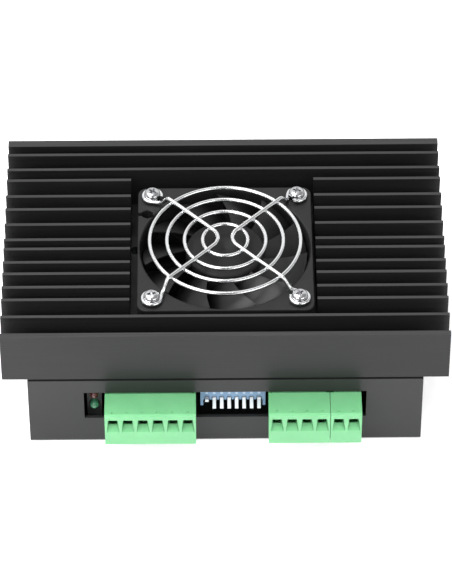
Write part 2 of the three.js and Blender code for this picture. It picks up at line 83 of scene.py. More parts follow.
def prism(bm, outline, z0, z1):
    """Add an upright prism over a closed outline of (x, y) points, counter-clockwise."""
    low = [bm.verts.new((x, y, z0)) for x, y in outline]
    high = [bm.verts.new((x, y, z1)) for x, y in outline]
    bm.faces.new(reversed(low))
    bm.faces.new(high)
    for i, corner in enumerate(low):
        j = (i + 1) % len(low)
        bm.faces.new((corner, low[j], high[j], high[i]))


def profile_bar(bm, outline, x0, x1):
    """Add a bar along X over a closed outline of (y, z) points."""
    ends = [[bm.verts.new((x, y, z)) for y, z in outline] for x in (x0, x1)]
    bm.faces.new(reversed(ends[0]))
    bm.faces.new(ends[1])
    for i in range(len(outline)):
        j = (i + 1) % len(outline)
        bm.faces.new((ends[0][i], ends[0][j], ends[1][j], ends[1][i]))


def taper(bm, x, y0, front, y1, back):
    """Add a four-sided funnel between two upright faces: (half width, low z, high z), and the
    half width of its top edge if that is another one."""
    rings = []
    for y, (half, low, high, *top) in ((y0, front), (y1, back)):
        upper = top[0] if top else half
        rings.append([bm.verts.new((x + dx, y, z)) for dx, z in
                      ((-half, low), (half, low), (upper, high), (-upper, high))])
    for k in range(4):
        m = (k + 1) % 4
        bm.faces.new((rings[0][k], rings[0][m], rings[1][m], rings[1][k]))
    bm.faces.new(reversed(rings[0]))
    bm.faces.new(rings[1])


def lathe(bm, profile, segments=48, matrix=None):
    """Add a solid of revolution about Z. The (radius, z) profile runs from the bottom to
    the top with the solid on its left, and starts and ends on the axis."""
    rings = []
    for r, z in profile:
        if r < 1e-6:
            rings.append([bm.verts.new((0, 0, z))])
            continue
        turn = [2 * math.pi * i / segments for i in range(segments)]
        rings.append([bm.verts.new((r * math.cos(a), r * math.sin(a), z)) for a in turn])
    for low, high in zip(rings, rings[1:]):
        for i in range(segments):
            j = (i + 1) % segments
            corners = (low[i % len(low)], low[j % len(low)], high[j % len(high)], high[i % len(high)])
            corners = list(dict.fromkeys(corners))
            if len(corners) > 2:
                bm.faces.new(corners)
    if matrix is not None:
        bmesh.ops.transform(bm, matrix=matrix, verts=[v for ring in rings for v in ring])


def sweep(bm, path, radius, closed=False):
    """Add a round bar along a list of points, with flat ends unless it is closed."""
    sides = 18
    points = [Vector(p) for p in path]
    count = len(points)
    normal = None
    rings = []
    for i, point in enumerate(points):
        before = points[i - 1] if closed or i else point
        after = points[(i + 1) % count] if closed or i < count - 1 else point
        tangent = (after - before).normalized()
        if normal is None:
            normal = tangent.orthogonal().normalized()
        normal = (normal - tangent * normal.dot(tangent)).normalized()
        side = tangent.cross(normal)
        turn = [2 * math.pi * k / sides for k in range(sides)]
        rings.append([bm.verts.new(point + radius * (math.cos(a) * normal + math.sin(a) * side))
                      for a in turn])
    pairs = list(zip(rings, rings[1:]))
    if closed:
        pairs.append((rings[-1], rings[0]))
    for low, high in pairs:
        for k in range(sides):
            m = (k + 1) % sides
            bm.faces.new((low[k], low[m], high[m], high[k]))
    if not closed:
        bm.faces.new(reversed(rings[0]))
        bm.faces.new(rings[-1])


def smooth_path(points):
    """Catmull-Rom curve through the points."""
    steps = 6
    pts = [Vector(p) for p in points]
    pts = [2 * pts[0] - pts[1], *pts, 2 * pts[-1] - pts[-2]]
    path = []
    for a, b, c, d in zip(pts, pts[1:], pts[2:], pts[3:]):
        for i in range(steps):
            t = i / steps
            path.append(0.5 * (2 * b + (c - a) * t + (2 * a - 5 * b + 4 * c - d) * t * t
                               + (3 * b - a - 3 * c + d) * t * t * t))
    return [*path, pts[-2]]


def rounded_square(half, r):
    """Counter-clockwise outline of a square with round corners."""
    steps = 8
    outline = []
    for quarter in range(4):
        centre = Vector((half - r, half - r)) if quarter % 2 == 0 else Vector((-half + r, half - r))
        if quarter > 1:
            centre = -centre
        for i in range(steps + 1):
            a = math.radians(90 * quarter + 90 * i / steps)
            outline.append((centre.x + r * math.cos(a), centre.y + r * math.sin(a)))
    return outline


def join_into(target, extra):
    """Add one bmesh to another."""
    mesh = bpy.data.meshes.new("part")
    extra.to_mesh(mesh)
    extra.free()
    target.from_mesh(mesh)
    bpy.data.meshes.remove(mesh)


def temporary(bm):
    """A scene object that holds a bmesh for a modifier to work on."""
    mesh = bpy.data.meshes.new("work")
    bm.to_mesh(mesh)
    bm.free()
    work = bpy.data.objects.new("work", mesh)
    bpy.context.scene.collection.objects.link(work)
    return work


def evaluated(work):
    """A bmesh of a temporary object with its modifiers applied; the object is removed."""
    mesh = bpy.data.meshes.new_from_object(work.evaluated_get(bpy.context.evaluated_depsgraph_get()))
    bm = bmesh.new()
    bm.from_mesh(mesh)
    discard(work)
    bpy.data.meshes.remove(mesh)
    return bm


def discard(work):
    """Remove a temporary object and its mesh."""
    mesh = work.data
    bpy.data.objects.remove(work)
    bpy.data.meshes.remove(mesh)


def carve(bm, cutter):
    """Cut one bmesh out of another, and return the rest."""
    bmesh.ops.recalc_face_normals(bm, faces=bm.faces)
    bmesh.ops.recalc_face_normals(cutter, faces=cutter.faces)
    whole, knife = temporary(bm), temporary(cutter)
    cut = whole.modifiers.new("cut", "BOOLEAN")
    cut.operation = "DIFFERENCE"
    cut.solver = "EXACT"
    cut.use_self = True
    cut.object = knife
    rest = evaluated(whole)
    discard(knife)
    return rest


def soften(obj, width, dissolve=False):
    """Round the sharp edges of an object by a width in millimetres, once the flat faces of
    a CAD node have been joined up again if asked."""
    if dissolve:
        flat = obj.modifiers.new("flat", "DECIMATE")
        flat.decimate_type = "DISSOLVE"
        flat.angle_limit = math.radians(0.5)
    bevel = obj.modifiers.new("bevel", "BEVEL")
    bevel.width = width * MM
    bevel.segments = 2
    bevel.limit_method = "ANGLE"
    bevel.angle_limit = math.radians(32)
    bevel.use_clamp_overlap = False
    bevel.miter_outer = "MITER_ARC"
    normals = obj.modifiers.new("normals", "WEIGHTED_NORMAL")
    normals.keep_sharp = True


def piece(name, bm, finish, body, at=(0, 0, 0), sharp=35, bevel=0, node=None):
    """Turn a bmesh in millimetres into a finished object that rides on a body. Edges that
    turn more than the sharp angle stay crisp."""
    bmesh.ops.recalc_face_normals(bm, faces=bm.faces)
    bmesh.ops.scale(bm, vec=(MM, MM, MM), verts=bm.verts)
    bmesh.ops.translate(bm, vec=Vector(at) * MM + Vector((0, FRONT, 0)), verts=bm.verts)
    for face in bm.faces:
        face.smooth = True
    for edge in bm.edges:
        edge.smooth = len(edge.link_faces) == 2 and edge.calc_face_angle(0) < math.radians(sharp)
    mesh = bpy.data.meshes.new(name)
    bm.to_mesh(mesh)
    bm.free()
    obj = bpy.data.objects.new(name, mesh)
    bpy.context.scene.collection.objects.link(obj)
    mesh.materials.append(finish)
    if bevel:
        soften(obj, bevel)
    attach(obj, body)
    if node:
        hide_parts(node)
    return obj


def dress(node, finish, bevel=0):
    """Give a carried-over CAD node its material, and soft edges if asked."""
    obj = frame["nodes"][node]
    obj.data.materials.clear()
    obj.data.materials.append(finish)
    if bevel:
        soften(obj, bevel, dissolve=True)


# --------------------------------------------------------------------------- materials

NOISE_RANGE = (0.3, 0.7)  # where most values of a noise texture lie


class Finish:
    """A Principled material with procedural detail in object space, in metres."""

    def __init__(self, name, **sockets):
        self.material = bpy.data.materials.new(name)
        self.material.use_nodes = True
        self.nodes = self.material.node_tree.nodes
        self.links = self.material.node_tree.links
        self.shader = self.nodes["Principled BSDF"]
        for key, value in sockets.items():
            self.shader.inputs[key.replace("_", " ")].default_value = value
        self.place = self.nodes.new("ShaderNodeTexCoord").outputs["Object"]
        self.relief = None

    def noise(self, scale, detail=3):
        """Noise with a separate scale, in cells per metre, along each axis."""
        mapping = self.nodes.new("ShaderNodeMapping")
        mapping.inputs["Scale"].default_value = scale if isinstance(scale, tuple) else (scale,) * 3
        self.links.new(self.place, mapping.inputs["Vector"])
        noise = self.nodes.new("ShaderNodeTexNoise")
        noise.inputs["Scale"].default_value = 1
        noise.inputs["Detail"].default_value = detail
        noise.inputs["Roughness"].default_value = 0.55
        self.links.new(mapping.outputs["Vector"], noise.inputs["Vector"])
        return noise.outputs["Fac"]

    def remap(self, value, low, high, inside=NOISE_RANGE):
        """A number between two, by a value that runs over a range."""
        node = self.nodes.new("ShaderNodeMapRange")
        node.inputs["From Min"].default_value = inside[0]
        node.inputs["From Max"].default_value = inside[1]
        node.inputs["To Min"].default_value = low
        node.inputs["To Max"].default_value = high
        self.links.new(value, node.inputs["Value"])
        return node.outputs["Result"]

    def blend(self, value, first, second):
        """A colour between two, by a noise value."""
        ramp = self.nodes.new("ShaderNodeValToRGB")
        for stop, place, colour in zip(ramp.color_ramp.elements, NOISE_RANGE, (first, second)):
            stop.position = place
            stop.color = (*colour, 1)
        self.links.new(value, ramp.inputs["Fac"])
        return ramp.outputs["Color"]

    def mix(self, factor, first, second):
        """A colour between two others that are worked out per point, by a factor of 0 to 1."""
        node = self.nodes.new("ShaderNodeMix")
        node.data_type = "RGBA"
        self.links.new(factor, node.inputs["Factor"])
        self.links.new(first, node.inputs["A"])
        self.links.new(second, node.inputs["B"])
        return node.outputs["Result"]

    def math(self, kind, first, second=None):
        """A Math node over values that are numbers or sockets."""
        node = self.nodes.new("ShaderNodeMath")
        node.operation = kind
        for socket, value in zip(node.inputs, (first, second)):
            if value is None:
                continue
            if isinstance(value, (int, float)):
                socket.default_value = value
            else:
                self.links.new(value, socket)
        return node.outputs[0]

    def axis(self, which, source="Object"):
        """One coordinate of the object, or of its surface normal."""
        split = self.nodes.new("ShaderNodeSeparateXYZ")
        coordinates = self.nodes.new("ShaderNodeTexCoord")
        self.links.new(coordinates.outputs[source], split.inputs[0])
        return split.outputs[which]

    def colour(self, value):
        self.links.new(value, self.shader.inputs["Base Color"])
        return self

    def roughness(self, value):
        self.links.new(value, self.shader.inputs["Roughness"])
        return self

    def metallic(self, value):
        self.links.new(value, self.shader.inputs["Metallic"])
        return self

    def bump(self, height, depth):
        """Add relief of a depth in millimetres on top of what is there."""
        node = self.nodes.new("ShaderNodeBump")
        node.inputs["Strength"].default_value = 1
        node.inputs["Distance"].default_value = depth * MM
        self.links.new(height, node.inputs["Height"])
        if self.relief is not None:
            self.links.new(self.relief, node.inputs["Normal"])
        self.relief = node.outputs["Normal"]
        self.links.new(self.relief, self.shader.inputs["Normal"])
        return self


def grey(value):
    """A neutral colour, very slightly cool."""
    return (value, value, value * 1.03)


def anodised():
    """Black anodised extrusion: drawn streaks along X, a matt etched grain, saw marks on
    the cut ends, and a painted highlight that makes the fin tops paler, as if lit from above."""
    f = Finish("anodised_black", Specular_IOR_Level=0.27)
    cloud = f.noise((14, 40, 40), 4)
    streak = f.noise((25, 2600, 2600), 3)
    grain = f.noise(9000, 2)
    saw = f.noise((900, 5200, 120), 3)
    ends = f.math("GREATER_THAN", f.math("ABSOLUTE", f.axis("X", "Normal")), 0.9)
    # painted highlight: mask of the fin tops, which get a paler colour standing in for the light that
    # falls on them from above
    painted_highlight_tops = f.math("GREATER_THAN", f.axis("Z"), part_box("heatsink")[1][2] - 0.1 * MM)
    body = f.mix(f.remap(cloud, 0, 1), f.blend(streak, grey(0.009), grey(0.013)),
                 f.blend(streak, grey(0.011), grey(0.016)))
    # the painted highlight on the fin tops goes into the colour here
    body = f.mix(painted_highlight_tops, body, f.blend(streak, grey(0.026), grey(0.042)))
    f.colour(f.mix(ends, body, f.blend(saw, grey(0.014), grey(0.03))))
    f.roughness(f.remap(streak, 0.28, 0.42))
    f.bump(f.math("MULTIPLY", streak, f.math("SUBTRACT", 1.0, ends)), 0.016)
    f.bump(f.math("MULTIPLY", saw, ends), 0.05)
    return f.bump(grain, 0.003).material


def coated():
    """Satin black powder coat: fine orange peel and a little dust of wear."""
    f = Finish("powder_coat_black", Specular_IOR_Level=0.29)
    peel = f.noise(1500, 3)
    fine = f.noise(6500, 2)
    cloud = f.noise(22, 3)
    f.colour(f.mix(f.remap(cloud, 0, 1), f.blend(fine, grey(0.016), grey(0.022)),
                   f.blend(fine, grey(0.02), grey(0.026))))
    f.roughness(f.remap(peel, 0.3, 0.4))
    f.bump(peel, 0.012)
    return f.bump(fine, 0.003).material


def moulded(name, first, second, rough, depth=0.008, **sockets):
    """Injection-moulded plastic: slow tone change and a fine spark-eroded grain."""
    f = Finish(name, **sockets)
    cloud = f.noise(180, 3)
    fine = f.noise(2400, 2)
    flow = f.noise((900, 900, 120), 2)
    f.colour(f.blend(cloud, first, second))
    f.roughness(f.remap(fine, rough - 0.05, rough + 0.07))
    f.bump(flow, depth)
    return f.bump(fine, depth).material


def plated(name, first, second, rough):
    """Bright plated metal with faint wipe marks."""
    f = Finish(name, Metallic=1.0)
    marks = f.noise((700, 700, 5000), 3)
    cloud = f.noise(350, 3)
    f.colour(f.blend(cloud, first, second))
    f.roughness(f.remap(marks, rough * 0.7, rough * 1.5))
    return f.bump(marks, 0.004).material


def lens(name, colour):
    """Tinted clear epoxy of an unlit indicator."""
    f = Finish(name, Transmission_Weight=0.35, IOR=1.53, Coat_Weight=0.5, Coat_Roughness=0.05)
    swirl = f.noise(800, 2)
    dark = tuple(c * 0.6 for c in colour)
    f.colour(f.blend(swirl, dark, colour))
    f.roughness(f.remap(swirl, 0.1, 0.22))
    return f.bump(swirl, 0.01).material


def epoxy_and_metal(name, metal):
    """Black moulding whose metal parts, picked out by a mask, are tinned."""
    f = Finish(name)
    fine = f.noise(2400, 2)
    marks = f.noise((700, 5000, 700), 3)
    mask = metal(f)
    f.colour(f.mix(mask, f.blend(fine, grey(0.014), grey(0.02)),
                   f.blend(marks, grey(0.55), grey(0.7))))
    f.metallic(mask)
    f.roughness(f.math("SUBTRACT", f.remap(fine, 0.5, 0.62), f.math("MULTIPLY", mask, 0.25)))
    return f.bump(fine, 0.008).material


TAB_LENGTH, TAB_SHEET = 6.35, 1.35  # bare length of a transistor's tab, and its thickness
LEGS_FROM = 15.45  # distance from the tab's end to where the legs leave the moulding
CAN_R, RIM_R = 8, 6.3  # capacitor, and the edge of its sleeve's rim


def transistor_metal(f):
    """The legs in front of the moulding, the tab behind it, and the sheet on top of it."""
    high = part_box("power_transistor_1")[1]
    legs = f.math("LESS_THAN", f.axis("Y"), high[1] - LEGS_FROM * MM)
    tab = f.math("GREATER_THAN", f.axis("Y"), high[1] - TAB_LENGTH * MM)
    sheet = f.math("GREATER_THAN", f.axis("Z"), high[2] - TAB_SHEET * MM)
    return f.math("MAXIMUM", f.math("MAXIMUM", legs, tab), sheet)


def can_metal(f):
    """The pressed end of a capacitor inside the rim of its sleeve."""
    facing = f.math("LESS_THAN", f.axis("Z", "Normal"), -0.9)
    squares = []
    for which in "XY":
        offset = f.math("SUBTRACT", f.axis(which, "Generated"), 0.5)
        squares.append(f.math("MULTIPLY", offset, offset))
    inner = f.math("LESS_THAN", f.math("ADD", *squares), (RIM_R / (2 * CAN_R)) ** 2)
    return f.math("MULTIPLY", facing, inner)


def blade_plastic():
    """Smooth black blades, with painted shade: darker low down in the duct."""
    f = Finish("blade_black", Specular_IOR_Level=0.3)
    low, high = (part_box("fan_rotor")[k][2] for k in (0, 1))
    cloud = f.noise(180, 3)
    # painted shade: the blades get darker towards the bottom of the duct, where less light reaches
    height = f.remap(f.axis("Z"), 0, 1, (low + 0.3 * (high - low), high))
    f.colour(f.mix(height, f.blend(cloud, grey(0.003), grey(0.005)),
                   f.blend(cloud, grey(0.019), grey(0.026))))
    f.roughness(f.remap(cloud, 0.3, 0.36))
    return f.bump(cloud, 0.01).material


def solder_mask():
    """Green board: darker bare laminate between faint copper tracks."""
    f = Finish("solder_mask", Coat_Weight=0.3, Coat_Roughness=0.2)
    tracks = f.noise((160, 900, 900), 1)
    cross = f.noise((900, 160, 900), 1)
    lines = f.math("MAXIMUM", f.math("GREATER_THAN", tracks, 0.56),
                   f.math("GREATER_THAN", cross, 0.57))
    fine = f.noise(2500, 2)
    f.colour(f.mix(lines, f.blend(fine, (0.01, 0.06, 0.025), (0.014, 0.075, 0.03)),
                   f.blend(fine, (0.02, 0.12, 0.05), (0.026, 0.14, 0.06))))
    f.roughness(f.remap(fine, 0.32, 0.42))
    return f.bump(lines, 0.03).material


def wound_copper():
    """Enamelled winding, with fine turns round Z."""
    f = Finish("enamelled_copper", Metallic=0.9)
    turns = f.noise((500, 500, 9000), 1)
    f.colour(f.blend(turns, (0.42, 0.13, 0.05), (0.7, 0.3, 0.14)))
    f.roughness(f.remap(turns, 0.25, 0.4))
    return f.bump(turns, 0.06).material


MAT = {
    "anodised": anodised(),
    "coated": coated(),
    "plug": moulded("terminal_green", (0.148, 0.43, 0.2), (0.165, 0.46, 0.218), 0.42,
                    Subsurface_Weight=0.3, Subsurface_Scale=1.0,
                    Subsurface_Radius=(0.5 * MM, 1.5 * MM, 0.7 * MM)),
    "header": moulded("header_green", (0.06, 0.22, 0.08), (0.07, 0.25, 0.09), 0.42),
    "blue": moulded("switch_blue", (0.13, 0.225, 0.36), (0.15, 0.25, 0.4), 0.4),
    "white": moulded("lever_white", (0.62, 0.66, 0.69), (0.69, 0.72, 0.74), 0.35),
    "ink": moulded("white_ink", (0.36, 0.46, 0.58), (0.4, 0.5, 0.62), 0.5),
    "black": moulded("fan_black", grey(0.01), grey(0.014), 0.42, Specular_IOR_Level=0.33),
    "hub": moulded("hub_black", grey(0.009), grey(0.013), 0.45, Specular_IOR_Level=0.27),
    "blade": blade_plastic(),
    "holder": moulded("holder_black", grey(0.026), grey(0.034), 0.6, Specular_IOR_Level=0.4),
    "epoxy": moulded("epoxy_black", grey(0.014), grey(0.02), 0.55),
    "transistor": epoxy_and_metal("transistor_epoxy", transistor_metal),
    "can": epoxy_and_metal("capacitor_can", can_metal),
    "nylon": moulded("nylon_natural", (0.74, 0.72, 0.62), (0.8, 0.78, 0.7), 0.45),
    "pad": moulded("pad_grey", (0.3, 0.32, 0.34), (0.36, 0.38, 0.4), 0.75, depth=0.03),
    "chrome": plated("bright_wire", (0.88, 0.89, 0.9), (0.94, 0.95, 0.96), 0.16),
    "screw": plated("bright_screw", (0.61, 0.62, 0.63), (0.7, 0.7, 0.72), 0.14),
    "zinc": plated("zinc_plate", (0.55, 0.56, 0.58), (0.68, 0.69, 0.7), 0.28),
    "tin": plated("tinned_pin", (0.7, 0.7, 0.69), (0.8, 0.8, 0.79), 0.22),
    "brass": plated("turned_brass", (0.58, 0.42, 0.17), (0.68, 0.5, 0.22), 0.25),
    "bronze": plated("sintered_bronze", (0.36, 0.2, 0.1), (0.44, 0.26, 0.14), 0.45),
    "copper": wound_copper(),
    "board": solder_mask(),
    "red": lens("red_epoxy", (0.16, 0.03, 0.03)),
    "green": lens("green_epoxy", (0.1, 0.36, 0.2)),
}


# ------------------------------------------------------------------------------ casing

def casing():
    """Heatsink and cover, with their edges broken."""
    dress("heatsink", MAT["anodised"], 0.14)
    dress("cover", MAT["coated"], 0.16)


# ------------------------------------------------------------- fan screws, cover screws

def cross_cutter(width, z0, z1):
    """Cutter for a cross recess that narrows from z1 down to z0."""
    half = 1.6
    bm = bmesh.new()
    for turn in (0, 90):
        arm = bmesh.new()
        block(arm, (-half, -width / 2, z0), (half, width / 2, z1))
        for v in arm.verts:
            if v.co.z < (z0 + z1) / 2:
                v.co.x *= 0.45
                v.co.y *= 0.7
        bmesh.ops.rotate(arm, matrix=Matrix.Rotation(math.radians(turn), 3, "Z"), verts=arm.verts)
        join_into(bm, arm)
    lathe(bm, [(0, z0 - 0.2), (width * 0.55, z0), (width * 1.05, z1), (0, z1)], 24)
    return bm


def fan_screw(node, turn):
    """Pan head with a cross recess over a threaded shank, standing inside its eyelet."""
    low, high = span(node)
    r = (high.x - low.x) / 2
    height, rim = 1.7, 0.6
    seat = high.z - height
    crown = [(r * math.cos(math.radians(a)) ** 0.7,
              seat + rim + (height - rim) * math.sin(math.radians(a))) for a in range(0, 90, 10)]
    shank, pitch, thread_depth = 1.95, 0.7, 0.32
    thread = []
    z = low.z + 0.5
    while z < seat - 1.1:
        thread += [(shank - thread_depth, z), (shank, z + pitch / 2)]
        z += pitch
    profile = [(0, low.z), (shank - 0.5, low.z), *thread, (shank - 0.1, seat - 0.4),
               (r - 0.12, seat - 0.05), (r, seat + 0.1), *crown, (0, high.z)]
    bm = bmesh.new()
    lathe(bm, profile, 56)
    bm = carve(bm, cross_cutter(0.8, seat + 0.2, high.z + 0.2))
    bmesh.ops.rotate(bm, matrix=Matrix.Rotation(math.radians(turn), 3, "Z"), verts=bm.verts)
    at = middle(node)
    piece(f"{node}_head", bm, MAT["screw"], "driver", (at.x, at.y, 0), sharp=28, node=node)


def cover_screw(node, turn):
    """Countersunk screw, flush with the floor of the cover."""
    low, high = span(node)
    head, shank = 2.75, 1.4
    bm = bmesh.new()
    lathe(bm, [(0, low.z), (head - 0.2, low.z), (head, low.z + 0.12), (shank, low.z + 1.15),
               (shank, high.z - 0.4), (shank - 0.4, high.z), (0, high.z)], 48)
    cutter = cross_cutter(0.75, low.z - 1.1, low.z + 0.1)
    flip = Matrix.Rotation(math.pi, 3, "X")
    bmesh.ops.rotate(cutter, matrix=flip, verts=cutter.verts, cent=(0, 0, low.z))
    bm = carve(bm, cutter)
    bmesh.ops.rotate(bm, matrix=Matrix.Rotation(math.radians(turn), 3, "Z"), verts=bm.verts)
    at = middle(node)
    piece(f"{node}_zinc", bm, MAT["zinc"], "driver", (at.x, at.y, 0), sharp=28, node=node)


# --------------------------------------------------------------------------------- fan

FAN_LOW, FAN_HIGH = span("fan_frame")
FAN = (FAN_LOW + FAN_HIGH) / 2
BORE_R, SCREW_HOLE_R = 28.9, 2.25
LEAD_HOLE = Vector((-26.7, 17))  # middle of the six-sided hole for the lead, from the fan's axis
LEAD_HOLE_R, LEAD_SLIT = 2.1, 1.6
MOTOR_PLATE_R, PLATE_THICK = 13.4, 1.2
BEARING_TUBE_R, BEARING_BORE_R, BEARING_TUBE_TOP = 3.8, 2.7, 7
SCREWS = [middle(f"fan_screw_{i}") - FAN for i in range(1, 5)]


def fan_frame():
    """Frame with a flared duct, screw holes and the hole for the lead, and the motor plate
    on four struts that carries the bearing tube."""
    half = (FAN_HIGH.x - FAN_LOW.x) / 2
    z0, z1 = FAN_LOW.z, FAN_HIGH.z
    bm = bmesh.new()
    prism(bm, rounded_square(half, 3.2), z0, z1)
    cutter = bmesh.new()
    lathe(cutter, [(0, z0 - 1), (BORE_R + 0.4, z0 - 1), (BORE_R, z0 + 1.2), (BORE_R, z1 - 1.2),
                   (BORE_R + 0.5, z1 + 0.05), (BORE_R + 0.5, z1 + 1), (0, z1 + 1)], 128)
    for corner in SCREWS:
        lathe(cutter, [(0, z0 - 1), (SCREW_HOLE_R, z0 - 1), (SCREW_HOLE_R, z1 + 1), (0, z1 + 1)], 32,
              Matrix.Translation((corner.x, corner.y, 0)))
    bm = carve(bm, cutter)
    hole = [(LEAD_HOLE.x + LEAD_HOLE_R * math.cos(math.radians(a)),
             LEAD_HOLE.y + LEAD_HOLE_R * math.sin(math.radians(a))) for a in range(30, 390, 60)]
    slit_end = LEAD_HOLE.x - 0.8
    low_side, high_side = LEAD_HOLE.y - LEAD_SLIT / 2, LEAD_HOLE.y + LEAD_SLIT / 2
    slit = [(-half - 1, low_side), (slit_end, low_side), (slit_end, high_side), (-half - 1, high_side)]
    for outline in (hole, slit):
        notch = bmesh.new()
        prism(notch, outline, z0 - 1, z1 + 1)
        bm = carve(bm, notch)
    piece("fan_frame_body", bm, MAT["black"], "driver", (FAN.x, FAN.y, 0), bevel=0.3,
          node="fan_frame")
    plate = bmesh.new()
    plate_z, tube_z = z0 + PLATE_THICK, z0 + BEARING_TUBE_TOP
    lathe(plate, [(0, z0), (MOTOR_PLATE_R, z0), (MOTOR_PLATE_R, plate_z), (BEARING_TUBE_R, plate_z),
                  (BEARING_TUBE_R, tube_z), (BEARING_BORE_R, tube_z), (BEARING_BORE_R, z0 + 1),
                  (0, z0 + 1)], 64)
    piece("fan_motor_plate", plate, MAT["black"], "driver", (FAN.x, FAN.y, 0))
    struts = bmesh.new()
    for turn in (45, 135, 225, 315):
        start = len(struts.verts)
        block(struts, (MOTOR_PLATE_R - 0.8, -1.2, z0), (BORE_R + 0.3, 1.2, plate_z))
        struts.verts.ensure_lookup_table()
        bmesh.ops.rotate(struts, matrix=Matrix.Rotation(math.radians(turn), 3, "Z"),
                         verts=struts.verts[start:])
    piece("fan_struts", struts, MAT["black"], "driver", (FAN.x, FAN.y, 0), bevel=0.15)


HUB_R, HUB_INNER_R = 13.5, 12.3
HUB_EDGE = 8.6  # height above the frame's underside where the shoulder and the blades begin
BLADES = 11
BLADE_SPAN, BLADE_SWEEP, BLADE_DROP = 33, 15, 6.2  # degrees, degrees and millimetres
BLADE_ROOT_R, BLADE_THICK = 13.1, 0.45


def fan_rotor():
    """Plain hub cap and eleven swept blades."""
    z0 = FAN_LOW.z
    bm = bmesh.new()
    shoulder = [(HUB_R - 1 + math.sin(math.radians(a)), z0 + HUB_EDGE + math.cos(math.radians(a)))
                for a in range(90, -1, -15)]
    lathe(bm, [(0, z0 + HUB_EDGE - 0.2), (HUB_INNER_R, z0 + HUB_EDGE - 0.2), (HUB_INNER_R, z0 + 1.8),
               (HUB_R, z0 + 1.8), *shoulder, (1.0, z0 + HUB_EDGE + 1), (0.6, z0 + HUB_EDGE + 0.85),
               (0, z0 + HUB_EDGE + 0.8)], 96)
    piece("fan_hub", bm, MAT["hub"], "fan_impeller", (FAN.x, FAN.y, 0), sharp=40,
          node="fan_rotor")
    blades = bmesh.new()
    for i in range(BLADES):
        blade(blades, 2 * math.pi * i / BLADES, z0)
    piece("fan_blades", blades, MAT["blade"], "fan_impeller", (FAN.x, FAN.y, 0), sharp=50)


def blade(bm, turn, z0):
    """One blade, as a closed sheet that thins towards its edges. It goes down clockwise."""
    rings, steps = 9, 10

    def corner(i, j, side):
        u, v = i / rings, j / steps
        r = BLADE_ROOT_R + (BORE_R - 0.8 - BLADE_ROOT_R) * u
        a = turn + math.radians(BLADE_SWEEP * (1 + u) - BLADE_SPAN * v)
        thick = BLADE_THICK * (0.4 + 0.6 * math.sin(math.pi * min(max(v, 0.08), 0.92)))
        return bm.verts.new((r * math.cos(a), r * math.sin(a),
                             z0 + HUB_EDGE - BLADE_DROP * v + side * thick))

    sheets = [[[corner(i, j, side) for j in range(steps + 1)] for i in range(rings + 1)]
              for side in (1, -1)]
    top, low = sheets
    for i in range(rings):
        for j in range(steps):
            bm.faces.new((top[i][j], top[i + 1][j], top[i + 1][j + 1], top[i][j + 1]))
            bm.faces.new((low[i][j], low[i][j + 1], low[i + 1][j + 1], low[i + 1][j]))
        for j in (0, steps):
            bm.faces.new((top[i][j], low[i][j], low[i + 1][j], top[i + 1][j]))
    for j in range(steps):
        for i in (0, rings):
            bm.faces.new((top[i][j], top[i][j + 1], low[i][j + 1], low[i][j]))


WIRE = 0.7  # radius of the guard's wire
WELD, WELD_HALF, WELD_TURN = 0.07, 0.45, -84  # butt weld of a ring: rise, half length, place
RINGS = (25.8, 19.9, 13.9, 7.7)
RING_LIFT, STRUT_LIFT, FOOT_LIFT = 3.8, 5.0, 1.0  # wire middles above the fan frame
EYELET = 3.1  # radius of the wire's bend round a screw
RISE = ((3.5, 25, 0.0), (4.4, 10, 0.05), (5.5, 5, 0.25), (6.6, 2, 0.62), (7.7, 0, 0.93),
        (9.4, 0, 1.0))  # from an eyelet to the level run: reach, turn, share of the height
APEX = ((4.5, 4.2), (3.1, 2.5), (2.45, 0), (3.1, -2.5), (4.5, -4.2))  # bend near the middle
STRAIGHT = (10, 9.9)  # a point on the straight run of a bent wire


def finger_guard():
    """Four rings under two bent wires, which come down to an eyelet round each screw."""
    ring_z, strut_z, foot_z = (FAN_HIGH.z + lift for lift in (RING_LIFT, STRUT_LIFT, FOOT_LIFT))
    bm = bmesh.new()
    for r in RINGS:
        steps = 48 + 4 * int(r)
        circle = [(r * math.cos(a), r * math.sin(a), ring_z)
                  for a in (2 * math.pi * i / steps for i in range(steps))]
        sweep(bm, circle, WIRE, closed=True)
        weld = [(r * math.cos(a), r * math.sin(a), ring_z)
                for a in (math.radians(WELD_TURN) + s * WELD_HALF / r
                          for s in (-1, -0.5, 0, 0.5, 1))]
        sweep(bm, weld, WIRE + WELD)
    for side in (-1, 1):
        legs = [wire_leg(side, sy, foot_z, strut_z) for sy in (1, -1)]
        out, across = STRAIGHT
        bend = [(side * x, y, strut_z) for x, y in ((out, across), *APEX, (out, -across))]
        route = [*legs[0], *bend, *reversed(legs[1])]
        sweep(bm, smooth_path(route), WIRE)
    piece("finger_guard_wires", bm, MAT["chrome"], "driver", (FAN.x, FAN.y, 0), sharp=60,
          node="finger_guard")


def wire_leg(side, sy, foot_z, strut_z):
    """Points from the end of an eyelet, clockwise back round the screw, and up to the
    level run."""
    half = abs(SCREWS[0].x)
    inward = math.atan2(-sy, -side)
    points = []
    eyelet = [(EYELET, turn, 0) for turn in range(330, 44, -26)]
    for reach, turn, lift in (*eyelet, *RISE):
        a = inward - math.radians(turn)
        points.append((side * half + reach * math.cos(a), sy * half + reach * math.sin(a),
                       foot_z + (strut_z - foot_z) * lift))
    return points


# --------------------------------------------------------------------------- terminals

PLUG = {"depth": 10.2, "inset": 1.3, "nose_top": 0.9, "nose_low": 4.4, "pin_z": 9.2}
SOCKET, SOCKET_FROM = 0.95, 2.5  # half width of a contact hole, and where it begins in Y
